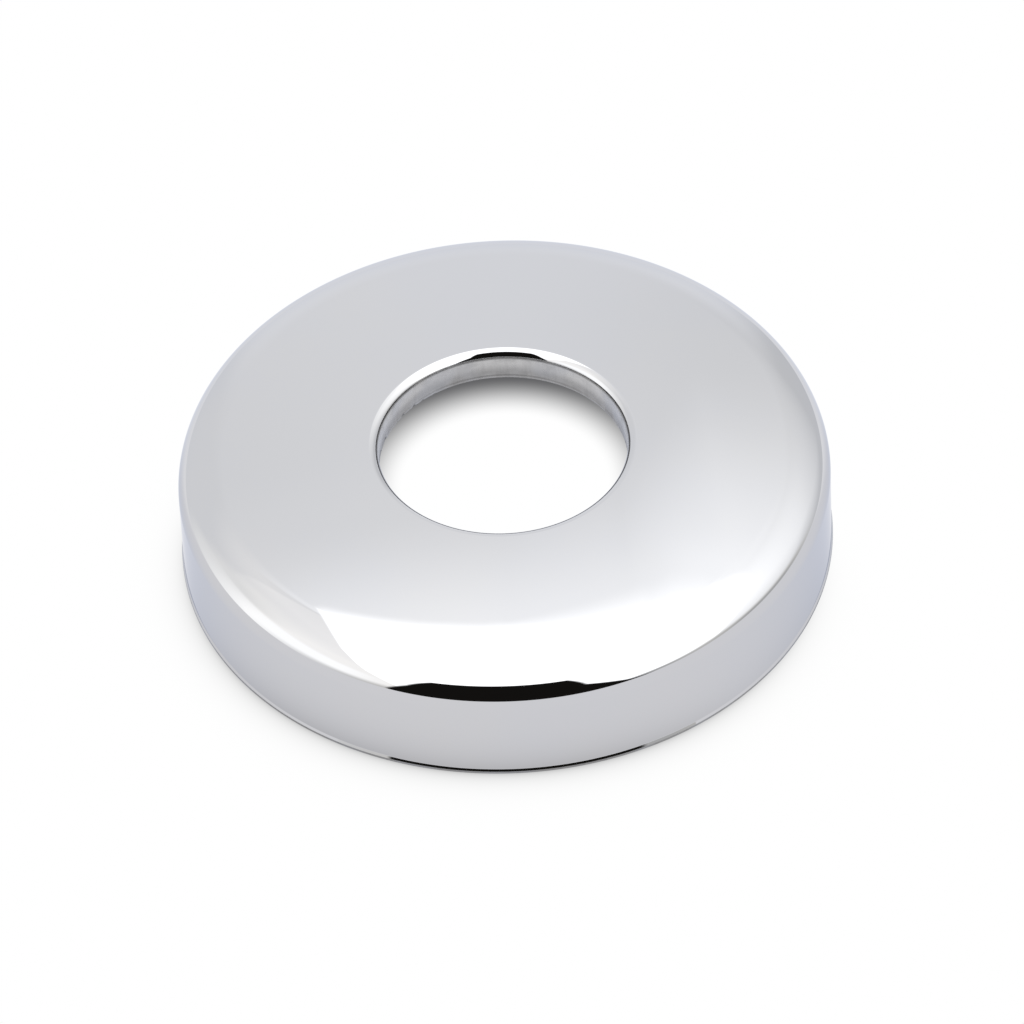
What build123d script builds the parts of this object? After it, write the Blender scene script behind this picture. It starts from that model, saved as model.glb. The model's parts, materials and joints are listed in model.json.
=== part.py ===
from build123d import *
from math import asin, cos, degrees, radians, sin, sqrt
import os

# Tap escutcheon: a round cover pressed from one sheet, which slides over a threaded tap
# tail and hides the hole in the wall behind it. A gently crowned dome rolls over a
# shoulder into an upright skirt with a slightly flared foot, and the middle hole is
# turned down into a short collar. Millimetres, axis on Z, foot on Z = 0.

# Driving dimensions
foot_diameter = 70.0      # over the flared foot
overall_height = 14.5     # foot to the top of the hole's lip
sheet_thickness = 0.6     # one gauge all over

hole_diameter = 26.6      # slides over a 3/4 inch pipe thread, 26.44 mm
lip_radius = 1.0          # outside radius of the bend from dome to collar
collar_wall = 2.7         # straight wall of the collar below the lip
collar_edge_break = 0.15  # small bevel on both corners of the collar's cut edge

crown_radius = 250.0      # sphere of the dome, centred on the axis
rim_width = 4.85          # from the end of the crown out to the skirt
shoulder_radius = 3.0     # last and tightest bend above the skirt
shoulder_slope = 30.0     # degrees, slope at which the rim passes into the shoulder

flare_radius = 0.2        # hollow bend that turns the foot outwards
flare_turn = 26.0         # degrees that the foot turns outwards
flare_length = 0.28       # straight run below that bend
foot_edge = 0.3           # upright cut edge of the foot

# Lip and crown: the lip's circle touches the crown's circle from inside
foot_radius = foot_diameter / 2
hole_radius = hole_diameter / 2
lip_center = (hole_radius + lip_radius, overall_height - lip_radius)
lip_slope = degrees(asin(lip_center[0] / (crown_radius - lip_radius)))
crown_center = (0.0, lip_center[1] - sqrt((crown_radius - lip_radius) ** 2 - lip_center[0] ** 2))
collar_foot = lip_center[1] - collar_wall

# Flared foot: the skirt stands in from the foot's edge by what the flare turns out
flare_out = sin(radians(flare_turn))
flare_down = cos(radians(flare_turn))
flare_height = foot_edge + flare_length * flare_down + flare_radius * flare_out
skirt_radius = foot_radius - flare_length * flare_out - flare_radius * (1 - flare_down)
flare_center = (skirt_radius + flare_radius, flare_height)

# Rim and shoulder: two arcs, tangent to the crown, to each other and to the skirt
crown_end_radius = skirt_radius - rim_width
crown_slope = degrees(asin(crown_end_radius / crown_radius))
rim_radius = (rim_width - shoulder_radius * (1 - sin(radians(shoulder_slope)))) / (
    sin(radians(shoulder_slope)) - sin(radians(crown_slope))
)


def along_normal(start, slope, length):
    """The point a length away from start, along the normal of a surface that falls at slope degrees."""
    return (start[0] + length * sin(radians(slope)), start[1] + length * cos(radians(slope)))


rim_center = along_normal(crown_center, crown_slope, crown_radius - rim_radius)
shoulder_center = along_normal(rim_center, shoulder_slope, rim_radius - shoulder_radius)


def bend(center, radius, slope_from, slope_to):
    """An arc whose surface falls outwards at slope_from degrees at one end and slope_to at the other."""
    CenterArc(center, radius, 90 - slope_from, slope_from - slope_to)


def flare_end(inset):
    """The end of the flare's bend on one face of the sheet."""
    reach = flare_radius + inset
    return (flare_center[0] - reach * flare_down, flare_center[1] - reach * flare_out)


def sheet_face(inset, foot_point):
    """One face of the sheet, inset below the polished one, from the collar's foot to the foot's edge."""
    Line((hole_radius + inset, collar_foot), (hole_radius + inset, lip_center[1]))
    bend(lip_center, lip_radius - inset, -90, lip_slope)
    bend(crown_center, crown_radius - inset, lip_slope, crown_slope)
    bend(rim_center, rim_radius - inset, crown_slope, shoulder_slope)
    bend(shoulder_center, shoulder_radius - inset, shoulder_slope, 90)
    Line((skirt_radius - inset, shoulder_center[1]), (skirt_radius - inset, flare_height))
    CenterArc(flare_center, flare_radius + inset, 180, flare_turn)
    Line(flare_end(inset), foot_point)


# The hidden face of the flare runs on down to the level of the foot
hidden_end = flare_end(sheet_thickness)
foot_inner_radius = hidden_end[0] + hidden_end[1] * flare_out / flare_down

with BuildPart() as escutcheon:
    with BuildSketch(Plane.XZ) as section:
        with BuildLine():
            sheet_face(0, (foot_radius, foot_edge))
            sheet_face(sheet_thickness, (foot_inner_radius, 0))
            Line((hole_radius, collar_foot), (hole_radius + sheet_thickness, collar_foot))
            Line((foot_inner_radius, 0), (foot_radius, 0))
            Line((foot_radius, 0), (foot_radius, foot_edge))
        make_face()
        collar_corners = [v for v in section.vertices() if abs(v.Y - collar_foot) < collar_edge_break / 2]
        chamfer(collar_corners, collar_edge_break)
    revolve(axis=Axis.Z)
escutcheon.part.label = "escutcheon"

os.makedirs("parts", exist_ok=True)
export_step(escutcheon.part, "parts/escutcheon.step")
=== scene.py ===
"""Looks of the tap escutcheon: the pressed cover as one lathe-turned surface in polished chrome
plate, on a pale floor in a soft studio. Metres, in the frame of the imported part."""

import json
from math import asin, cos, pi, radians, sin, sqrt, tan
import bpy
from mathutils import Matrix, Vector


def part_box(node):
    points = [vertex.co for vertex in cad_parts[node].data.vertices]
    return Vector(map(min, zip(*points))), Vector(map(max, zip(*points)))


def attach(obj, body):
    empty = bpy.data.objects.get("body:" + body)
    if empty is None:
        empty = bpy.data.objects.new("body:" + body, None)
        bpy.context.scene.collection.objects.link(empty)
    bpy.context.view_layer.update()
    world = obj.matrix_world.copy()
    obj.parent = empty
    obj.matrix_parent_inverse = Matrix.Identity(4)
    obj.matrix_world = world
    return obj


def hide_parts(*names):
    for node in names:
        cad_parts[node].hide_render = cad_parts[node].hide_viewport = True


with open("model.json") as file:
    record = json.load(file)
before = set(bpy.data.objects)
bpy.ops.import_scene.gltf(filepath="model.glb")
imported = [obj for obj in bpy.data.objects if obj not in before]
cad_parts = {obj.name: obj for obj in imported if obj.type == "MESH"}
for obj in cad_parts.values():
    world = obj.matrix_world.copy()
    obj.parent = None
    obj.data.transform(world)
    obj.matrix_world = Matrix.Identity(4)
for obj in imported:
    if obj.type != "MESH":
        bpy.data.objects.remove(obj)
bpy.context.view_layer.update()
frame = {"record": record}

from types import SimpleNamespace

import bpy
import numpy as np
from bpy.props import FloatProperty, FloatVectorProperty, IntProperty, PointerProperty
from mathutils import Matrix, Vector

bl_info = {
    "name": "Tap escutcheon",
    "version": (1, 0, 0),
    "blender": (4, 5, 0),
    "location": "3D View > Sidebar > Escutcheon",
    "description": "Builds a chrome plated tap escutcheon and the studio that it is shown in",
    "category": "Add Mesh",
}

NODE = "escutcheon"
MM = 0.001
COVER_LOW, COVER_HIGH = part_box(NODE)
PIPE_HOLE = next(m for m in frame["record"]["mounts"] if m["name"] == "pipe_hole")

# Tint of the pale walls, and the slope on the hole's lip at which the polish begins
COOL = (0.99, 0.995, 1.02)
DULL_LIP = radians(72.0)

# The ridge above the collar's cut edge, and the power by which points crowd towards that edge
RIDGE_ABOVE = 0.22 * MM
RIDGE_WIDTH = 0.09 * MM
CROWDING = 1.5

# Nicks in the cut edge, each with its place and width in degrees and its share of the deepest one, and the
# height and power by which they fade upwards
NICKS = (
    (122.0, 0.8, 0.18),
    (129.0, 0.9, 0.25),
    (134.5, 1.2, 0.4),
    (142.5, 1.4, 0.45),
    (147.0, 0.7, 0.3),
    (160.5, 1.6, 0.9),
    (169.0, 1.4, 1.0),
)
NICK_FADE = 1.2 * MM
NICK_POWER = 3

# Points closer than this are one
SAME_POINT = 1e-7

# Order of the finishes in the cover's material slots
FINISHES = ("polish", "wall", "hidden")


def length(label, description, default):
    """A length property in metres."""
    return FloatProperty(name=label, description=description, default=default, min=0.0,
                         unit="LENGTH", subtype="DISTANCE", precision=5)


def angle(label, description, default):
    """An angle property, with its default given in degrees."""
    return FloatProperty(name=label, description=description, default=radians(default),
                         unit="ROTATION", subtype="ANGLE")


def colour(label, description, default):
    """A colour property in linear red, green and blue."""
    return FloatVectorProperty(name=label, description=description, default=default, size=3,
                               min=0.0, subtype="COLOR")


def share(label, description, default):
    """A property between 0 and 1."""
    return FloatProperty(name=label, description=description, default=default, min=0.0, max=1.0,
                         subtype="FACTOR", precision=4)


def strength(label, description, default):
    """Radiance of a part of the studio, where 1 is white."""
    return FloatProperty(name=label, description=description, default=default, min=0.0)


class CoverSizes(bpy.types.PropertyGroup):
    """Sizes of the pressed cover."""

    foot_diameter: length("Foot diameter", "Over the flared foot", COVER_HIGH.x - COVER_LOW.x)
    overall_height: length("Height", "Foot to the top of the hole's lip", COVER_HIGH.z - COVER_LOW.z)
    sheet_thickness: length("Sheet", "Gauge of the sheet", 0.6 * MM)
    hole_diameter: length("Hole", "Clears the pipe thread", 2 * PIPE_HOLE["dims"]["r_mm"] * MM)
    lip_radius: length("Lip radius", "Bend from the dome into the collar", 1.0 * MM)
    collar_wall: length("Collar wall", "Straight wall below the lip", 2.7 * MM)
    crown_radius: length("Crown radius", "Sphere of the dome", 250.0 * MM)
    rim_width: length("Rim width", "From the end of the crown out to the skirt", 4.85 * MM)
    shoulder_radius: length("Shoulder radius", "Last bend above the skirt", 3.0 * MM)
    shoulder_slope: angle("Shoulder slope", "Slope at which the rim passes into the shoulder", 30.0)
    flare_radius: length("Flare radius", "Hollow bend that turns the foot outwards", 0.2 * MM)
    flare_turn: angle("Flare turn", "How far the foot turns outwards", 26.0)
    flare_length: length("Flare length", "Straight run below that bend", 0.28 * MM)
    foot_edge: length("Foot edge", "Upright cut edge of the foot", 0.3 * MM)
    edge_round: length("Edge rounding", "Radius that plating leaves on a cut edge", 0.06 * MM)
    burr_height: length("Burr", "Ridge that the punch left at the collar's cut edge", 0.04 * MM)
    nick_depth: length("Nick depth", "Deepest nick in the collar's cut edge", 0.30 * MM)
    columns: IntProperty(name="Columns", description="Facets around the axis", default=540, min=24)


class ChromeFinish(bpy.types.PropertyGroup):
    """Colours and polish of the plating."""

    plate: colour("Chrome", "Polished plating", (0.602, 0.603, 0.609))
    plate_cool: colour("Cool chrome", "Polished plating where it leans to blue", (0.594, 0.598, 0.612))
    edge_tint: colour("Edge tint", "Tint of chrome at a grazing view", (0.78, 0.81, 0.88))
    polish_fine: share("Finest polish", "Roughness of the best polished spots", 0.012)
    polish_coarse: share("Coarsest polish", "Roughness of the least polished spots", 0.030)
    wall: colour("Collar wall", "Plating on the unpolished wall of the hole", (0.56, 0.557, 0.548))
    # Colour of the streaks and of the painted shade towards the collar's foot and on the cut edges
    wall_streaks_and_shade: colour("Collar foot", "Streak colour and painted shade towards the collar's cut edge", (0.30, 0.297, 0.294))
    wall_cool: colour("Collar bloom", "Bluish bloom on the collar wall", (0.42, 0.435, 0.468))
    # Near black where the cut edge is nicked
    nick: colour("Nicks", "Near black in the nicks of the cut edge", (0.06, 0.06, 0.06))
    hidden: colour("Hidden side", "Thin satin plating behind", (0.50, 0.49, 0.47))
    hidden_dark: colour("Hidden stains", "Dull patches behind", (0.36, 0.35, 0.33))


class Studio(bpy.types.PropertyGroup):
    """The floor, the soft light around it and the camera."""

    floor: colour("Floor", "Pale floor", (0.78, 0.78, 0.78))
    floor_mirrored: colour("Floor, mirrored", "Tint of the floor in the chrome", (0.985, 0.982, 1.01))
    # Painted light on the mirrored floor behind, then the floor's painted shadow, shade, touch line and disc
    # of light through the hole
    floor_behind_lit: colour("Floor behind", "Further tint of the mirrored floor behind", (1.16, 1.155, 1.13))
    shadow: colour("Shadow", "Floor under the cover", (0.12, 0.12, 0.125))
    shade: share("Shade", "Depth of the shade at the foot where it is deepest", 0.30)
    shade_turn: angle("Shade turn", "Turn of the deepest shade from the front to the left", 13.0)
    shade_reach: length("Shade reach", "Distance in which the shade fades to about a third", 1.3 * MM)
    touch: share("Touch", "Depth of the dark line where the foot touches the floor", 0.12)
    touch_reach: length("Touch reach", "Distance in which that line fades to about a third", 0.3 * MM)
    light_lean: angle("Light lean", "Lean of the light that falls through the hole", 30.5)
    disc_blur: length("Disc blur", "Softness of the light that falls through the hole", 2.7 * MM)
    overhead: strength("Overhead panel", "Radiance of the diffuser above", 2.1)
    diffuser_turn: angle("Diffuser turn", "Turn of the diffuser's left edge on the ceiling", 28.0)
    back_wall: strength("Back wall", "Radiance of the wall behind", 1.07)
    back_left: strength("Back wall, left", "Radiance of the wall behind on the left", 1.0)
    left_wall: strength("Left wall", "Radiance of the wall on the left", 1.66)
    right_high: strength("Right panel, top", "Radiance of the right panel at its top", 1.75)
    right_low: strength("Right panel, foot", "Radiance of the right panel at its foot", 0.84)
    dark: strength("Dark front", "Radiance of the dark gap towards the camera", 0.009)
    camera_distance: length("Camera distance", "From the foot's centre", 1.0)
    camera_height: angle("Camera height", "Elevation of the camera above the floor", 45.41)
    camera_roll: angle("Camera roll", "Turn of the picture", 2.821)
    camera_pan: angle("Camera pan", "Aim to the side of the foot's centre", 0.036)
    camera_tilt: angle("Camera tilt", "Aim above the foot's centre", -0.146)
    camera_lens: FloatProperty(name="Lens", description="Focal length on a 36 mm sensor", default=326.9,
                               unit="CAMERA")


# Section of the cover

def along_normal(start, slope, distance):
    """The point a distance away from start along the normal of a surface that falls at slope."""
    return np.array(start) + distance * np.array([sin(slope), cos(slope)])


def bend(center, radius, slope_from, slope_to, count, side=1):
    """An arc as points and normals: center plus radius times (sin slope, cos slope), with the slope
    running evenly from one end to the other. Side -1 turns the normals towards the centre."""
    slope = np.linspace(slope_from, slope_to, count)
    ray = np.stack([np.sin(slope), np.cos(slope)], axis=1)
    return np.asarray(center) + radius * ray, side * ray


def straight(start, end, slope, count):
    """Evenly spaced points from start to end, with one normal."""
    points = np.linspace(start, end, count)
    return points, np.tile([sin(slope), cos(slope)], (count, 1))


def rounded(corner, slope_from, slope_to, radius, count):
    """A rounded outer corner between two faces: the arc's centre lies inwards from the corner, against the
    sum of the two normals, by the radius over one plus the cosine between them."""
    first = np.array([sin(slope_from), cos(slope_from)])
    second = np.array([sin(slope_to), cos(slope_to)])
    center = np.asarray(corner) - radius * (first + second) / (1 + first @ second)
    return bend(center, radius, slope_from, slope_to, count)


def collar_wall(size, foot, top, count):
    """The wall of the hole from its cut edge up to the lip: a cylinder with a bell-shaped ridge just
    above the cut edge. The normal leans by the ridge's derivative."""
    height = foot + (top - foot) * np.linspace(0, 1, count) ** CROWDING
    offset = (height - (foot + RIDGE_ABOVE)) / RIDGE_WIDTH
    ridge = size.burr_height * np.exp(-offset ** 2)
    lean = 2 * offset * ridge / RIDGE_WIDTH
    normal = np.stack([-np.ones(count), lean], axis=1)
    normal /= np.linalg.norm(normal, axis=1, keepdims=True)
    return np.stack([size.hole_diameter / 2 - ridge, height], axis=1), normal


def cover_section(size):
    """The closed section of the sheet, from the foot of the collar over the dome to the foot and back
    along the hidden side. Circles touch each other, and the hidden side is the same chain inset by the
    sheet. Returns radii and heights, normals, the finish of each row and the height of the collar's foot."""
    sheet = size.sheet_thickness
    foot, hole = size.foot_diameter / 2, size.hole_diameter / 2
    lip = np.array([hole + size.lip_radius, size.overall_height - size.lip_radius])
    lip_slope = asin(lip[0] / (size.crown_radius - size.lip_radius))
    crown = np.array([0.0, lip[1] - sqrt((size.crown_radius - size.lip_radius) ** 2 - lip[0] ** 2)])
    collar_foot = lip[1] - size.collar_wall

    turn, out, down = size.flare_turn, sin(size.flare_turn), cos(size.flare_turn)
    flare_height = size.foot_edge + size.flare_length * down + size.flare_radius * out
    skirt = foot - size.flare_length * out - size.flare_radius * (1 - down)
    flare = np.array([skirt + size.flare_radius, flare_height])
    hidden_flare = size.flare_radius + sheet
    foot_inside = flare[0] - hidden_flare * down + (flare_height - hidden_flare * out) * out / down

    crown_slope = asin((skirt - size.rim_width) / size.crown_radius)
    bend_slope = size.shoulder_slope
    rim_radius = (size.rim_width - size.shoulder_radius * (1 - sin(bend_slope))) / (
        sin(bend_slope) - sin(crown_slope))
    rim = along_normal(crown, crown_slope, size.crown_radius - rim_radius)
    shoulder = along_normal(rim, bend_slope, rim_radius - size.shoulder_radius)

    quarter, half, three_quarters = pi / 2, pi, 1.5 * pi
    edge_round = size.edge_round
    cut_round = min(2 * edge_round, sheet / 3)
    cut_top = collar_foot + cut_round
    stretches = [
        ("wall", collar_wall(size, cut_top, lip[1], count=16)),
        ("wall", bend(lip, size.lip_radius, -quarter, -DULL_LIP, count=6)),
        ("polish", bend(lip, size.lip_radius, -DULL_LIP, lip_slope, count=22)),
        ("polish", bend(crown, size.crown_radius, lip_slope, crown_slope, count=18)),
        ("polish", bend(rim, rim_radius, crown_slope, bend_slope, count=18)),
        ("polish", bend(shoulder, size.shoulder_radius, bend_slope, quarter, count=30)),
        ("polish", straight((skirt, shoulder[1]), (skirt, flare_height), quarter, count=5)),
        ("polish", bend(flare, size.flare_radius, -quarter, -quarter - turn, count=8, side=-1)),
        ("wall", rounded((foot, size.foot_edge), quarter - turn, quarter, edge_round, count=4)),
        ("wall", rounded((foot, 0.0), quarter, half, edge_round, count=5)),
        ("hidden", rounded((foot_inside, 0.0), half, three_quarters - turn, edge_round, count=5)),
        ("hidden", bend(flare, hidden_flare, -quarter - turn, -quarter, count=6)),
        ("hidden", straight((skirt - sheet, flare_height), (skirt - sheet, shoulder[1]), -quarter, count=3)),
        ("hidden", bend(shoulder, size.shoulder_radius - sheet, quarter, bend_slope, count=10, side=-1)),
        ("hidden", bend(rim, rim_radius - sheet, bend_slope, crown_slope, count=6, side=-1)),
        ("hidden", bend(crown, size.crown_radius - sheet, crown_slope, lip_slope, count=6, side=-1)),
        ("hidden", bend(lip, size.lip_radius - sheet, lip_slope, -quarter, count=8, side=-1)),
        ("hidden", straight((hole + sheet, lip[1]), (hole + sheet, cut_top), quarter, count=3)),
        ("wall", rounded((hole + sheet, collar_foot), quarter, half, cut_round, count=4)),
        ("wall", rounded((hole, collar_foot), half, three_quarters, cut_round, count=4)),
    ]
    points, normals, finishes = [], [], []
    for finish, (run, run_normals) in stretches:
        repeats = bool(points) and np.allclose(points[-1][-1], run[0], atol=SAME_POINT)
        points.append(run[repeats:])
        normals.append(run_normals[repeats:])
        finishes += [finish] * (len(run) - repeats)
    if np.allclose(points[-1][-1], points[0][0], atol=SAME_POINT):
        points[-1], normals[-1], finishes = points[-1][:-1], normals[-1][:-1], finishes[:-1]
    return np.concatenate(points), np.concatenate(normals), finishes, collar_foot


def nick_heights(turn):
    """How far the cut edge is bitten upwards at each angle, as a share of the deepest nick: a sum of bell
    curves, each with its place and width in degrees and its share."""
    place, width, part = np.array(NICKS).T
    gap = np.degrees(turn)[:, None] - place
    return (part * np.exp(-(gap / width) ** 2)).sum(axis=1)


def cover_mesh(size):
    """The section turned about the axis: x and y are the radius times the cosine and sine of the turn.
    Rows follow the section and columns the turn, and both close on themselves. The nicks lift the rows
    near the collar's cut edge."""
    section, normals, finishes, collar_foot = cover_section(size)
    rows, columns = len(section), size.columns
    turn = np.arange(columns) * 2 * pi / columns
    ray = np.stack([np.cos(turn), np.sin(turn)], axis=1)
    place = np.empty((rows, columns, 3))
    place[..., :2] = section[:, None, :1] * ray
    place[..., 2] = section[:, 1:]
    on_collar = section[:, 0] < size.hole_diameter / 2 + size.sheet_thickness + SAME_POINT
    above_cut = np.clip((section[:, 1] - collar_foot) / NICK_FADE, 0, 1)
    bitten = np.where(on_collar, (1 - above_cut) ** NICK_POWER, 0)
    nicked = bitten[:, None] * nick_heights(turn)
    place[..., 2] += size.nick_depth * nicked
    facing = np.empty((rows, columns, 3))
    facing[..., :2] = normals[:, None, :1] * ray
    facing[..., 2] = normals[:, 1:]

    here = np.arange(rows * columns).reshape(rows, columns)
    below, beside = np.roll(here, -1, axis=0), np.roll(here, -1, axis=1)
    corner = np.roll(below, -1, axis=1)
    quads = np.stack([here, below, corner, beside], axis=-1).reshape(-1, 4)
    finish = np.repeat([FINISHES.index(f) for f in finishes], columns)
    return place.reshape(-1, 3), facing.reshape(-1, 3), quads, finish, nicked.ravel()


# Node trees

class Bench:
    """Adds nodes to one tree and wires them, so that a formula reads as nested calls."""

    def __init__(self, tree):
        self.tree = tree
        tree.nodes.clear()

    def add(self, kind, inputs=(), **settings):
        """A node of that kind with its settings, and its inputs by name as values or sockets."""
        node = self.tree.nodes.new(kind)
        for name, value in settings.items():
            setattr(node, name, value)
        for name, value in dict(inputs).items():
            self.feed(node.inputs[name], value)
        return node

    def feed(self, socket, value):
        """Links a socket, or sets a value."""
        if isinstance(value, bpy.types.NodeSocket):
            self.tree.links.new(value, socket)
        elif hasattr(value, "__len__") and len(value) == 3 and socket.type == "RGBA":
            socket.default_value = (*value, 1.0)
        else:
            socket.default_value = value

    def calc(self, operation, first, second=0.0):
        """One operation on a number, or on two."""
        return self.add("ShaderNodeMath", {0: first, 1: second}, operation=operation).outputs[0]

    def chain(self, operation, values):
        """The values joined by one operation, from the first to the last."""
        result = values[0]
        for value in values[1:]:
            result = self.calc(operation, result, value)
        return result

    def product(self, *values):
        """All values multiplied."""
        return self.chain("MULTIPLY", values)

    def total(self, *values):
        """All values added."""
        return self.chain("ADD", values)

    def rest(self, value):
        """One minus the value."""
        return self.calc("SUBTRACT", 1.0, value)

    def hypotenuse(self, first, second):
        """The square root of the two squares' sum."""
        return self.calc("SQRT", self.total(self.product(first, first), self.product(second, second)))

    def ramp(self, kind, value, start, end, low, high):
        """A step of that kind from low at start to high at end, held level outside."""
        steps = {"Value": value, "From Min": start, "From Max": end, "To Min": low, "To Max": high}
        return self.add("ShaderNodeMapRange", steps, interpolation_type=kind).outputs["Result"]

    def fade(self, value, start, end, low=0.0, high=1.0):
        """A smooth step from low at start to high at end."""
        return self.ramp("SMOOTHSTEP", value, start, end, low, high)

    def slide(self, value, start, end, low=0.0, high=1.0):
        """A straight line from low at start to high at end."""
        return self.ramp("LINEAR", value, start, end, low, high)

    def between(self, part, first, second):
        """The first number where part is 0 and the second where it is 1."""
        return self.slide(part, 0.0, 1.0, first, second)

    def join(self, kind, part, first, second):
        """The first colour where part is 0, and that kind of mix with the second where it is 1."""
        node = self.add("ShaderNodeMix", data_type="RGBA", blend_type=kind)
        colours = [s for s in node.inputs if s.type == "RGBA"]
        self.feed(node.inputs[0], part)
        self.feed(colours[0], first)
        self.feed(colours[1], second)
        return next(s for s in node.outputs if s.type == "RGBA")

    def mix(self, part, first, second):
        """The first colour where part is 0 and the second where it is 1."""
        return self.join("MIX", part, first, second)

    def tint(self, part, first, tint):
        """The colour, multiplied by the tint where part is 1."""
        return self.join("MULTIPLY", part, first, tint)

    def noise(self, place, scale, detail=2.0, roughness=0.5):
        """Noise with that many features in a metre."""
        inputs = {"Vector": place, "Scale": scale, "Detail": detail, "Roughness": roughness}
        return self.add("ShaderNodeTexNoise", inputs).outputs["Fac"]

    def stretch(self, place, scale):
        """The place scaled along each axis."""
        return self.add("ShaderNodeMapping", {"Vector": place, "Scale": scale}).outputs["Vector"]

    def bump(self, height, distance):
        """A normal from a height of up to that distance in metres."""
        inputs = {"Height": height, "Distance": distance, "Strength": 1.0}
        return self.add("ShaderNodeBump", inputs).outputs["Normal"]


def metal(bench, base, roughness, normal, edge_tint):
    """A metal surface from its nodes, with the tint that it takes at a grazing view."""
    inputs = {"Base Color": base, "Metallic": 1.0, "Roughness": roughness, "Normal": normal,
              "Specular Tint": edge_tint}
    surface = bench.add("ShaderNodeBsdfPrincipled", inputs)
    bench.add("ShaderNodeOutputMaterial", {"Surface": surface.outputs["BSDF"]})


def new_material(name):
    """An empty material and its bench."""
    material = bpy.data.materials.new(name)
    material.use_nodes = True
    return material, Bench(material.node_tree)


def polished_chrome(finish):
    """Mirror plating: a faint cool drift in its colour, patches of finer and coarser polish, and the slow
    waviness that buffing leaves."""
    material, bench = new_material("polished chrome")
    place = bench.add("ShaderNodeTexCoord").outputs["Object"]
    drift = bench.fade(bench.noise(place, scale=45.0, detail=3.0), start=0.35, end=0.65)
    base = bench.mix(drift, finish.plate, finish.plate_cool)
    patches = bench.noise(place, scale=320.0, detail=4.0, roughness=0.6)
    roughness = bench.fade(patches, start=0.35, end=0.7, low=finish.polish_fine, high=finish.polish_coarse)
    wave = bench.noise(place, scale=110.0, detail=1.0)
    metal(bench, base, roughness, bench.bump(wave, distance=0.0035 * MM), finish.edge_tint)
    return material


# The painted shade at the collar's foot: heights above the foot where it starts and is full, how far
# blotches shift them, the parts that it, the streaks and the bloom have in the colour, and the streaks'
# stretch
COLLAR_SHADE_STARTS = 2.2 * MM
COLLAR_SHADE_FULL = 0.8 * MM
COLLAR_SHADE_SHIFT = 1.6 * MM
COLLAR_SHADE_PART = 0.8
STREAK_PART = 0.2
BLOOM_PART = 0.4
UPRIGHT = (1.0, 1.0, 0.15)


def dull_collar(finish, size):
    """Unpolished plating on the wall of the hole and on cut edges. Painted shade darkens it towards the
    collar's foot and fully on the cut edges there and at the floor. It has soft mottling, faint upright
    drawing streaks, a bluish bloom and dark nicks in the edge."""
    material, bench = new_material("dull collar plating")
    place = bench.add("ShaderNodeTexCoord").outputs["Object"]
    height = bench.add("ShaderNodeSeparateXYZ", {"Vector": place}).outputs["Z"]
    collar_foot = size.overall_height - size.lip_radius - size.collar_wall
    streaks = bench.noise(bench.stretch(place, UPRIGHT), scale=1500.0, detail=5.0, roughness=0.65)
    blotches = bench.noise(place, scale=700.0, detail=4.0, roughness=0.6)
    bloom = bench.fade(bench.noise(place, scale=190.0, detail=2.0), start=0.45, end=0.65)
    # Painted shade: the wall darkens towards the collar's foot, and the blotches make the shade's edge
    # ragged
    ragged = bench.total(height, bench.product(bench.calc("SUBTRACT", blotches, 0.5), COLLAR_SHADE_SHIFT))
    collar_shade = bench.fade(ragged, collar_foot + COLLAR_SHADE_STARTS, collar_foot + COLLAR_SHADE_FULL)
    streaked = bench.fade(streaks, start=0.45, end=0.75, high=STREAK_PART)
    base = bench.mix(bench.total(bench.product(collar_shade, COLLAR_SHADE_PART), streaked), finish.wall, finish.wall_streaks_and_shade)
    base = bench.mix(bench.product(bloom, BLOOM_PART), base, finish.wall_cool)
    # Near black where the cut edge is nicked, fading upwards with the nicks
    nicked = bench.add("ShaderNodeAttribute", attribute_name="nicked").outputs["Fac"]
    base = bench.mix(bench.fade(nicked, start=0.06, end=0.30), base, finish.nick)
    roughness = bench.fade(blotches, start=0.35, end=0.68, low=0.26, high=0.40)
    metal(bench, base, roughness, bench.bump(streaks, distance=0.012 * MM), finish.edge_tint)
    return material


def hidden_plating(finish):
    """Thin satin plating behind, with dull water stains and the grain of the drawn sheet."""
    material, bench = new_material("hidden satin plating")
    place = bench.add("ShaderNodeTexCoord").outputs["Object"]
    stains = bench.fade(bench.noise(place, scale=130.0, detail=5.0, roughness=0.6), start=0.48, end=0.68)
    grain = bench.noise(place, scale=2600.0, detail=3.0, roughness=0.6)
    base = bench.mix(stains, finish.hidden, finish.hidden_dark)
    roughness = bench.fade(grain, start=0.3, end=0.7, low=0.30, high=0.46)
    metal(bench, base, roughness, bench.bump(grain, distance=0.015 * MM), finish.edge_tint)
    return material


# Studio. Bearings and zenith angles are in degrees, and right, back and across are tangents on the ceiling.
# A span says where a fade starts and ends, and one of four numbers also gives the values there.

def grey(level, tint=(1.0, 1.0, 1.0)):
    """A colour of that level, leaning to the tint."""
    return tuple(level * t for t in tint)


# Radiance of the lit ceiling and of pale walls
LAMP_WHITE = 2.0
PALE_WALL = 1.12

# The wall behind, the left ceiling, the left panel and the foot of the left wall
BACK_WALL_DULLS = (0.0, -0.5)
LEFT_WALL_BEGINS = (-128.0, -117.0)
LEFT_WALL_INSET = (-0.5, -0.8)
CEILING_RISE = (1.02, 0.55, 0.0, 0.18)
CEILING_EDGE = (0.57, 0.53, 0.0, 0.11)
CEILING_NEAR = (0.5, 0.0, 0.0, 0.11)
CEILING_DULL_LEFT = (-0.45, -1.0, 0.0, 0.85)
CEILING_DULL_BACK = (-0.1, 0.45)
CEILING_TINT = (1.03, 1.0, 0.96)
LEFT_PANEL_EDGE = (-1.08, -1.5)
LEFT_PANEL_BEGINS = (-122.0, -80.0)
LEFT_PANEL_ENDS = (-37.0, -58.0)
LEFT_FOOT_ZENITH = (74.0, 90.0)
LEFT_FOOT_BEGINS = (-95.0, -50.0)
LEFT_FOOT_ENDS = (10.0, -10.0)
LEFT_FOOT_DEPTH = 0.45


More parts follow.
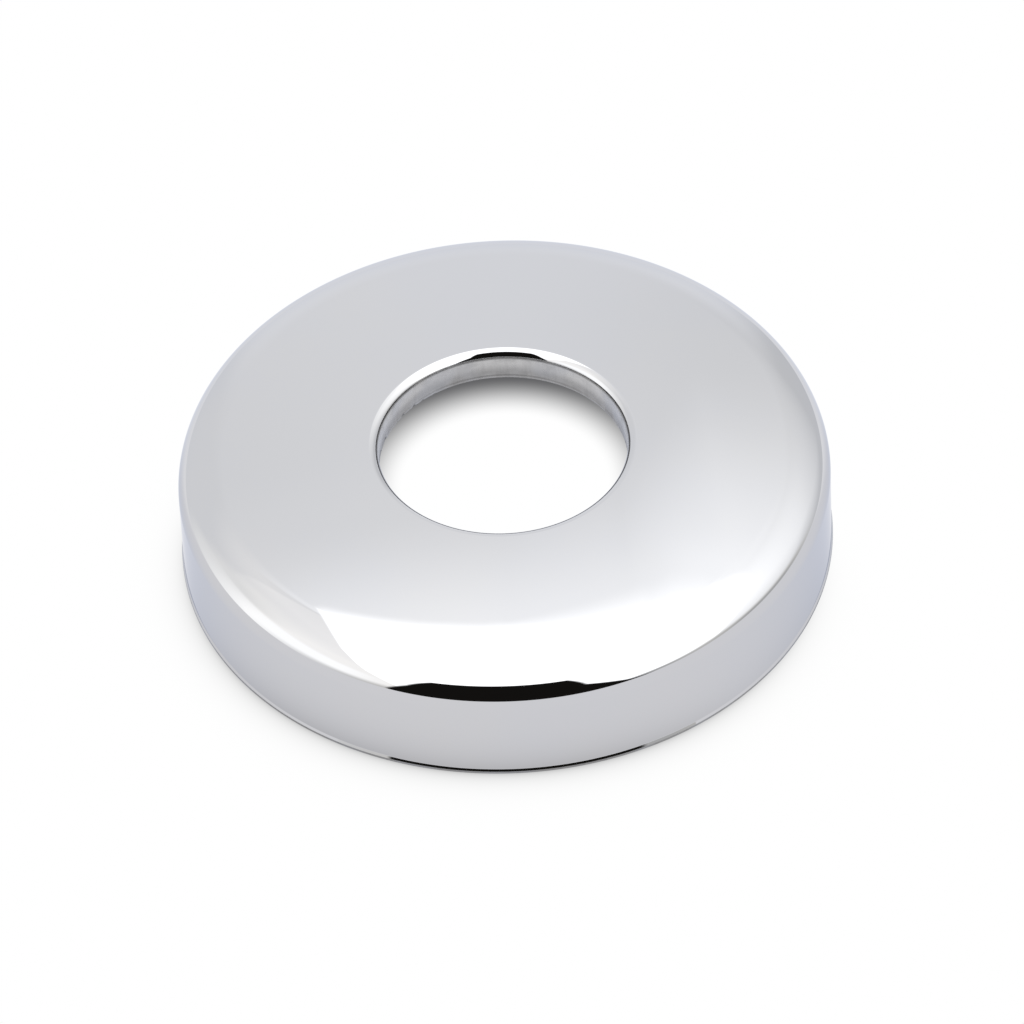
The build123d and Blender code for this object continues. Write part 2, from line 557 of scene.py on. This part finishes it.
def back_and_left(bench, studio, way):
    """The wall behind, duller to the left, and the left ceiling, which brightens towards the front and ends
    at the diffuser. A white panel stands on the left, below the ceiling's edge, and the foot of that wall is
    darker towards the front."""
    dull = bench.fade(way.sine, *BACK_WALL_DULLS)
    walls = bench.mix(dull, grey(studio.back_wall, COOL), grey(studio.back_left, COOL))
    left = bench.product(bench.fade(way.bearing, *LEFT_WALL_BEGINS), bench.fade(way.right, *LEFT_WALL_INSET))
    walls = bench.mix(left, walls, grey(PALE_WALL))
    ceiling = bench.total(
        bench.fade(way.back, *CEILING_RISE),
        bench.fade(way.back, *CEILING_EDGE),
        bench.slide(way.back, *CEILING_NEAR),
    )
    far = bench.product(bench.slide(way.right, *CEILING_DULL_LEFT), bench.fade(way.back, *CEILING_DULL_BACK))
    ceiling = bench.product(ceiling, bench.rest(far), bench.rest(way.under))
    walls = bench.mix(ceiling, walls, grey(LAMP_WHITE, CEILING_TINT))
    panel = bench.product(
        bench.fade(way.right, *LEFT_PANEL_EDGE),
        bench.fade(way.bearing, *LEFT_PANEL_BEGINS),
        bench.fade(way.bearing, *LEFT_PANEL_ENDS),
    )
    walls = bench.mix(panel, walls, grey(studio.left_wall))
    foot = bench.product(
        bench.fade(way.zenith, *LEFT_FOOT_ZENITH),
        bench.fade(way.bearing, *LEFT_FOOT_BEGINS),
        bench.fade(way.bearing, *LEFT_FOOT_ENDS),
        LEFT_FOOT_DEPTH,
    )
    return bench.mix(foot, walls, grey(0.0))


# The right panel, with the bearing past which it falls off and the rate, and the foot of the wall behind
RIGHT_TURN = 50.0
RIGHT_TURN_RATE = 0.55
RIGHT_FALL = (70.0, 124.0)
RIGHT_BEGINS = (5.0, 15.0)
RIGHT_ENDS = (180.0, 156.0)
HORIZON_ZENITH = (50.0, 78.0)
HORIZON_WIDTH = (0.90, 0.98)


def right_side(bench, studio, way, walls):
    """The panel on the right, whose radiance falls with the zenith angle and, past one bearing, with the
    bearing too, and the paler foot of the wall behind."""
    turned = bench.calc("MAXIMUM", bench.calc("SUBTRACT", way.bearing, RIGHT_TURN), 0.0)
    fall = bench.total(way.zenith, bench.product(turned, RIGHT_TURN_RATE))
    panel = bench.mix(bench.slide(fall, *RIGHT_FALL), grey(studio.right_high), grey(studio.right_low, COOL))
    place = bench.product(bench.fade(way.bearing, *RIGHT_BEGINS), bench.fade(way.bearing, *RIGHT_ENDS))
    walls = bench.mix(place, walls, panel)
    horizon = bench.product(bench.fade(way.zenith, *HORIZON_ZENITH), bench.fade(way.cosine, *HORIZON_WIDTH))
    return bench.mix(horizon, walls, grey(PALE_WALL, COOL))


# The glow behind the diffuser, the patch at its corner and the line of the diffuser's back edge
GLOW_REACH = (0.0, 0.09, 0.85, 0.91)
GLOW_REACH_RIGHT = (0.11, 0.21, 0.0, 0.34)
GLOW_FULL = 0.56
GLOW_WEAKENS = (0.22, 0.45, 0.40, 0.06)
GLOW_FAR = (1.05, 0.8, 0.0, 0.04)
CORNER_BEGINS = (0.13, 0.18)
CORNER_ENDS = (0.28, 0.20)
CORNER_BACK = (0.81, 0.73)
CORNER_PART = 0.06
BOW_LEFT = -0.25
BOW_RIGHT = 0.12
BOW_RATE = -2.0
BEND_FROM = 0.15
BEND_RATE = 0.6
BULGE_RISES = (0.13, 0.18, 0.0, -0.035)
BULGE_ENDS = (0.26, 0.19)
BACK_EDGE = 0.62
BACK_EDGE_BLUR = (0.0, 0.16, 0.012, 0.06)


def diffuser(bench, studio, way, walls):
    """The diffuser overhead, with a crisp edge on its left. The edge behind is bowed by the square of the
    place to the right, then bends away in a straight line with a small bulge at the start, and gets softer.
    Behind it lies a glow, which reaches further on the right and has a faint patch beside the bend."""
    reach = bench.total(bench.slide(way.right, *GLOW_REACH), bench.slide(way.right, *GLOW_REACH_RIGHT))
    glow = bench.product(bench.fade(way.back, reach, GLOW_FULL), bench.slide(way.right, *GLOW_WEAKENS))
    glow = bench.total(glow, bench.slide(way.back, *GLOW_FAR))
    corner = bench.product(
        bench.fade(way.right, *CORNER_BEGINS),
        bench.fade(way.right, *CORNER_ENDS),
        bench.fade(way.back, *CORNER_BACK),
        CORNER_PART,
    )
    glow = bench.total(bench.product(glow, way.under), corner)
    walls = bench.mix(glow, walls, grey(LAMP_WHITE))
    middle = bench.calc("MINIMUM", bench.calc("MAXIMUM", way.right, BOW_LEFT), BOW_RIGHT)
    bowed = bench.product(middle, middle, BOW_RATE)
    bent = bench.product(bench.calc("MAXIMUM", bench.calc("SUBTRACT", way.right, BEND_FROM), 0.0), BEND_RATE)
    bulge = bench.product(bench.slide(way.right, *BULGE_RISES), bench.slide(way.right, *BULGE_ENDS))
    behind = bench.total(way.back, bench.total(bowed, bench.total(bent, bulge)))
    blur = bench.slide(way.right, *BACK_EDGE_BLUR)
    edge = bench.fade(behind, bench.total(BACK_EDGE, blur), bench.calc("SUBTRACT", BACK_EDGE, blur))
    panel = bench.product(bench.fade(way.across, way.edge_out, way.edge_in), edge)
    return bench.mix(panel, walls, grey(studio.overhead))


# The right panel's foot, the line along the floor and the edges of the dark gap
RIGHT_FOOT_TOP = (38.0, 62.0, 88.0, 80.0)
RIGHT_FOOT_BLUR = (-6.0, 6.0)
RIGHT_FOOT_BEGINS = (33.0, 35.0)
RIGHT_FOOT_ENDS = (120.0, 95.0)
RIGHT_FOOT_TINT = (1.05, 1.03, 0.98)
LINE_ZENITH = (80.0, 86.0)
LINE_ENDS = (115.0, 90.0)
LINE_DIPS = (44.0, 62.0)
LINE_RECOVERS = (80.0, 64.0)
LINE_DIP = 0.55
LINE_LEVEL = 0.60
GAP_LEFT = (60.0, 86.0, -35.5, -39.0)
GAP_RIGHT = (58.0, 90.0, 23.5, 37.5)
GAP_RIGHT_FOOT = (86.0, 90.0, 0.0, 6.0)
GAP_BLUR = 1.0
GAP_TOP = (-0.500, -0.525)
GAP_TINT = (1.1, 1.0, 0.9)


def dark_gap(bench, studio, way, sky):
    """The dark gap towards the camera, which widens to its foot. Right of it are the grey foot of the right
    panel and a darker line along the floor, weaker in the middle."""
    below = bench.calc("SUBTRACT", way.zenith, bench.slide(way.bearing, *RIGHT_FOOT_TOP))
    begins = bench.fade(way.bearing, *RIGHT_FOOT_BEGINS)
    ends = bench.fade(way.bearing, *RIGHT_FOOT_ENDS)
    foot = bench.product(bench.fade(below, *RIGHT_FOOT_BLUR), begins, ends)
    sky = bench.mix(foot, sky, grey(studio.right_low, RIGHT_FOOT_TINT))
    dip = bench.product(bench.fade(way.bearing, *LINE_DIPS), bench.fade(way.bearing, *LINE_RECOVERS))
    line = bench.product(
        bench.fade(way.zenith, *LINE_ZENITH),
        bench.rest(bench.product(dip, LINE_DIP)),
        begins,
        bench.fade(way.bearing, *LINE_ENDS),
    )
    sky = bench.mix(line, sky, grey(LINE_LEVEL))
    left_edge = bench.slide(way.zenith, *GAP_LEFT)
    right_edge = bench.total(bench.slide(way.zenith, *GAP_RIGHT), bench.slide(way.zenith, *GAP_RIGHT_FOOT))
    gap = bench.product(
        bench.fade(bench.calc("SUBTRACT", way.bearing, left_edge), -GAP_BLUR, GAP_BLUR),
        bench.fade(bench.calc("SUBTRACT", way.bearing, right_edge), GAP_BLUR, -GAP_BLUR),
        bench.fade(way.back, *GAP_TOP),
    )
    return bench.mix(gap, sky, grey(studio.dark, GAP_TINT))


# Degrees in a radian, least values that keep a division safe, the diffuser's left edge, the end of the left
# ceiling and the heights between which the sky gives way to the floor's white
DEGREES = 180 / pi
LEAST_RISE = 0.02
LEAST_LEVEL = 0.001
LEFT_EDGE = (0.69, 0.04, -0.481, -0.457)
LEFT_EDGE_TURNS = (0.06, -0.12, 0.0, 0.027)
LEFT_EDGE_RETURNS = (-0.12, -0.6, 0.0, -0.035)
LEFT_EDGE_BLUR = 0.007
CEILING_LEAVES = (0.57, 0.66)
CEILING_LEFT = -0.72
FLOOR_MEETS = (0.001, -0.003)


def studio_light(studio):
    """The soft studio as a function of direction. The bearing is 0 towards the camera and grows to the
    right, and the zenith angle is 0 overhead. The ceiling's coordinates right and back are the direction's
    x and y over its z, and across is the first of them turned with the diffuser. The diffuser's left edge
    is a value of across that drifts with back, and under is 1 where the left ceiling has given way to it."""
    world = bpy.data.worlds.new("studio")
    world.use_nodes = True
    bpy.context.scene.world = world
    bench = Bench(world.node_tree)
    ray = bench.add("ShaderNodeTexCoord").outputs["Generated"]
    x, y, z = bench.add("ShaderNodeSeparateXYZ", {"Vector": ray}).outputs
    up = bench.calc("MAXIMUM", z, LEAST_RISE)
    right, back = bench.calc("DIVIDE", x, up), bench.calc("DIVIDE", y, up)
    level = bench.calc("MAXIMUM", bench.hypotenuse(x, y), LEAST_LEVEL)
    turn = studio.diffuser_turn
    edge = bench.total(
        bench.slide(back, *LEFT_EDGE),
        bench.slide(back, *LEFT_EDGE_TURNS),
        bench.slide(back, *LEFT_EDGE_RETURNS),
    )
    way = SimpleNamespace(
        right=right,
        back=back,
        across=bench.calc("SUBTRACT", bench.product(right, cos(turn)), bench.product(back, sin(turn))),
        bearing=bench.product(bench.calc("ARCTAN2", x, bench.product(y, -1.0)), DEGREES),
        sine=bench.calc("DIVIDE", x, level),
        cosine=bench.calc("DIVIDE", y, level),
        zenith=bench.product(bench.calc("ARCCOSINE", z), DEGREES),
        edge_out=bench.calc("SUBTRACT", edge, LEFT_EDGE_BLUR),
        edge_in=bench.total(edge, LEFT_EDGE_BLUR),
    )
    ceiling_end = bench.slide(back, *CEILING_LEAVES, way.edge_out, CEILING_LEFT)
    way.under = bench.fade(way.across, ceiling_end, way.edge_in)
    sky = back_and_left(bench, studio, way)
    sky = right_side(bench, studio, way, sky)
    sky = diffuser(bench, studio, way, sky)
    sky = dark_gap(bench, studio, way, sky)
    sky = bench.mix(bench.fade(z, *FLOOR_MEETS), sky, grey(1.0))
    seen = bench.add("ShaderNodeLightPath").outputs["Is Camera Ray"]
    light = bench.add("ShaderNodeBackground", {"Color": bench.mix(seen, sky, grey(1.0))})
    bench.add("ShaderNodeOutputWorld", {"Surface": light.outputs["Background"]})


# The floor's painted shade and light. The first three pairs hold a value for the floor itself and one
# for the mirrored floor. The floor behind, painted lighter, is a span of y over the distance from the axis.
SHADE_STARTS = (-0.25, 0.5)
SHADE_FULL = (0.85, 1.0)
SHADE_LEAST = (0.0, 0.35)
MIRRORED_SPREAD = 1.7
FLOOR_BEHIND_LIT = (0.25, 0.6)
AXIS_GAP = 1.0 * MM
FOOT_BLUR = 0.3 * MM
DISC_WIDTH = 0.96
DISC_OUTER_BLUR = 1.3
SHADOW_LIFT = 0.3
FLOOR_HALF = 1.5


def floor_shade(bench, studio, size, mirrored):
    """How light the floor is: painted shade and light, drawn from the place on the floor. Outside the foot
    it is one minus a depth that fades with the distance from the foot as a falling exponential, with a
    second, narrow one where the foot touches. The depth is greatest at the front, turned a little to the
    left. Mirrored, the painted shade is wider and the floor behind is painted lighter. Under the cover a
    painted pool of light, as if it fell through the hole, makes a soft disc of the hole's size, moved back
    by the light's lean."""
    place = bench.add("ShaderNodeTexCoord").outputs["Object"]
    x, y, _ = bench.add("ShaderNodeSeparateXYZ", {"Vector": place}).outputs
    radius = bench.calc("MAXIMUM", bench.hypotenuse(x, y), AXIS_GAP)
    outside = bench.calc("SUBTRACT", radius, size.foot_diameter / 2)
    away = bench.calc("MAXIMUM", outside, 0.0)
    turn = studio.shade_turn
    ahead = bench.total(bench.product(x, -sin(turn)), bench.product(y, -cos(turn)))
    starts = bench.between(mirrored, *SHADE_STARTS)
    full = bench.between(mirrored, *SHADE_FULL)
    least = bench.between(mirrored, *SHADE_LEAST)
    towards = bench.fade(bench.calc("DIVIDE", ahead, radius), starts, full, least, 1.0)
    reach = bench.between(mirrored, studio.shade_reach, MIRRORED_SPREAD * studio.shade_reach)
    falling = bench.calc("EXPONENT", bench.product(bench.calc("DIVIDE", away, reach), -1.0))
    touch = bench.calc("EXPONENT", bench.calc("DIVIDE", away, -studio.touch_reach))
    touch = bench.product(touch, bench.between(mirrored, studio.touch, 0.0))
    shade = bench.total(bench.product(falling, studio.shade), touch)
    around = bench.rest(bench.product(shade, towards))
    # Painted light: the floor behind is lighter where the chrome mirrors it
    behind = bench.product(bench.fade(bench.calc("DIVIDE", y, radius), *FLOOR_BEHIND_LIT), mirrored)
    around = bench.tint(behind, around, studio.floor_behind_lit)

    # A painted pool of light under the cover, as if it fell through the hole, and painted shadow around it
    hole = size.hole_diameter / 2
    moved = (size.overall_height - size.collar_wall / 2) * tan(studio.light_lean)
    from_disc = bench.hypotenuse(bench.product(x, DISC_WIDTH), bench.calc("SUBTRACT", y, moved))
    disc = bench.fade(from_disc, hole + DISC_OUTER_BLUR * studio.disc_blur, hole - studio.disc_blur)
    shadow = bench.mix(bench.product(mirrored, SHADOW_LIFT), studio.shadow, grey(1.0))
    lit = bench.mix(disc, shadow, grey(1.0))
    shade = bench.mix(bench.fade(outside, -FOOT_BLUR, 0.0), lit, around)
    return bench.tint(mirrored, shade, studio.floor_mirrored)


def floor_plane(studio, size):
    """A flat square at height 0, white with the cover's painted shade from above and clear from below."""
    half = FLOOR_HALF
    corners = [(-half, -half, 0), (half, -half, 0), (half, half, 0), (-half, half, 0)]
    mesh = bpy.data.meshes.new("floor")
    mesh.from_pydata(corners, [], [(0, 1, 2, 3)])
    floor = bpy.data.objects.new("floor", mesh)
    bpy.context.scene.collection.objects.link(floor)
    material, bench = new_material("pale floor")
    path = bench.add("ShaderNodeLightPath").outputs
    mirrored = bench.calc("MAXIMUM", path["Is Glossy Ray"], path["Is Transmission Ray"])
    shown = bench.calc("MAXIMUM", path["Is Camera Ray"], mirrored)
    white = bench.add("ShaderNodeEmission", {"Color": floor_shade(bench, studio, size, mirrored)})
    pale = bench.add("ShaderNodeBsdfDiffuse", {"Color": studio.floor})
    top = bench.add("ShaderNodeMixShader", {0: shown, 1: pale.outputs[0], 2: white.outputs[0]})
    clear = bench.add("ShaderNodeBsdfTransparent")
    from_below = bench.add("ShaderNodeNewGeometry").outputs["Backfacing"]
    sides = bench.add("ShaderNodeMixShader", {0: from_below, 1: top.outputs[0], 2: clear.outputs[0]})
    bench.add("ShaderNodeOutputMaterial", {"Surface": sides.outputs[0]})
    mesh.materials.append(material)


# Width of the camera's sensor in millimetres
SENSOR_WIDTH = 36.0


def camera(studio):
    """A long lens that looks down at the foot's centre, then panned, tilted and rolled."""
    data = bpy.data.cameras.new("camera")
    data.sensor_width = SENSOR_WIDTH
    data.lens = studio.camera_lens
    eye = bpy.data.objects.new("camera", data)
    bpy.context.scene.collection.objects.link(eye)
    height = studio.camera_height
    place = studio.camera_distance * Vector((0.0, -cos(height), sin(height)))
    eye.matrix_world = (
        Matrix.Translation(place)
        @ Matrix.Rotation(pi / 2 - height, 4, "X")
        @ Matrix.Rotation(-studio.camera_pan, 4, "Y")
        @ Matrix.Rotation(-studio.camera_tilt, 4, "X")
        @ Matrix.Rotation(-studio.camera_roll, 4, "Z")
    )
    bpy.context.scene.camera = eye


class ESCUTCHEON_OT_cover(bpy.types.Operator):
    """Turns the pressed cover from its section and plates it"""

    bl_idname = "escutcheon.cover"
    bl_label = "Pressed cover"

    def execute(self, context):
        scene = context.scene
        size, plating = scene.escutcheon_sizes, scene.escutcheon_finish
        place, facing, quads, finish, nicked = cover_mesh(size)
        mesh = bpy.data.meshes.new("cover")
        mesh.from_pydata(place, [], quads)
        for material in (polished_chrome(plating), dull_collar(plating, size), hidden_plating(plating)):
            mesh.materials.append(material)
        mesh.polygons.foreach_set("material_index", finish)
        mesh.attributes.new("nicked", "FLOAT", "POINT").data.foreach_set("value", nicked)
        mesh.shade_smooth()
        mesh.normals_split_custom_set_from_vertices(facing)
        if mesh.validate():
            raise RuntimeError("the cover's mesh has faulty faces")
        cover = bpy.data.objects.new("cover", mesh)
        scene.collection.objects.link(cover)
        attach(cover, "root")
        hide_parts(NODE)
        return {"FINISHED"}


class ESCUTCHEON_OT_studio(bpy.types.Operator):
    """Lays the floor and sets the light and the camera"""

    bl_idname = "escutcheon.studio"
    bl_label = "Studio"

    def execute(self, context):
        studio = context.scene.escutcheon_studio
        context.scene.view_settings.view_transform = "Standard"
        floor_plane(studio, context.scene.escutcheon_sizes)
        studio_light(studio)
        camera(studio)
        return {"FINISHED"}


class ESCUTCHEON_PT_sidebar(bpy.types.Panel):
    """Lists the pieces and their sizes"""

    bl_idname = "ESCUTCHEON_PT_sidebar"
    bl_label = "Tap escutcheon"
    bl_space_type = "VIEW_3D"
    bl_region_type = "UI"
    bl_category = "Escutcheon"

    def draw(self, context):
        scene = context.scene
        groups = (
            (ESCUTCHEON_OT_cover, (scene.escutcheon_sizes, scene.escutcheon_finish)),
            (ESCUTCHEON_OT_studio, (scene.escutcheon_studio,)),
        )
        for operator, settings in groups:
            box = self.layout.box()
            box.operator(operator.bl_idname)
            for group in settings:
                for name in group.__annotations__:
                    box.prop(group, name)


CLASSES = (
    CoverSizes,
    ChromeFinish,
    Studio,
    ESCUTCHEON_OT_cover,
    ESCUTCHEON_OT_studio,
    ESCUTCHEON_PT_sidebar,
)
SETTINGS = {
    "escutcheon_sizes": CoverSizes,
    "escutcheon_finish": ChromeFinish,
    "escutcheon_studio": Studio,
}


def register():
    """Registers the classes and adds their settings to the scene."""
    for each in CLASSES:
        bpy.utils.register_class(each)
    for name, group in SETTINGS.items():
        setattr(bpy.types.Scene, name, PointerProperty(type=group))


def unregister():
    """Takes the settings and the classes away again."""
    for name in SETTINGS:
        delattr(bpy.types.Scene, name)
    for each in reversed(CLASSES):
        bpy.utils.unregister_class(each)


def main():
    register()
    bpy.ops.escutcheon.cover()
    bpy.ops.escutcheon.studio()


if __name__ == "__main__":
    main()
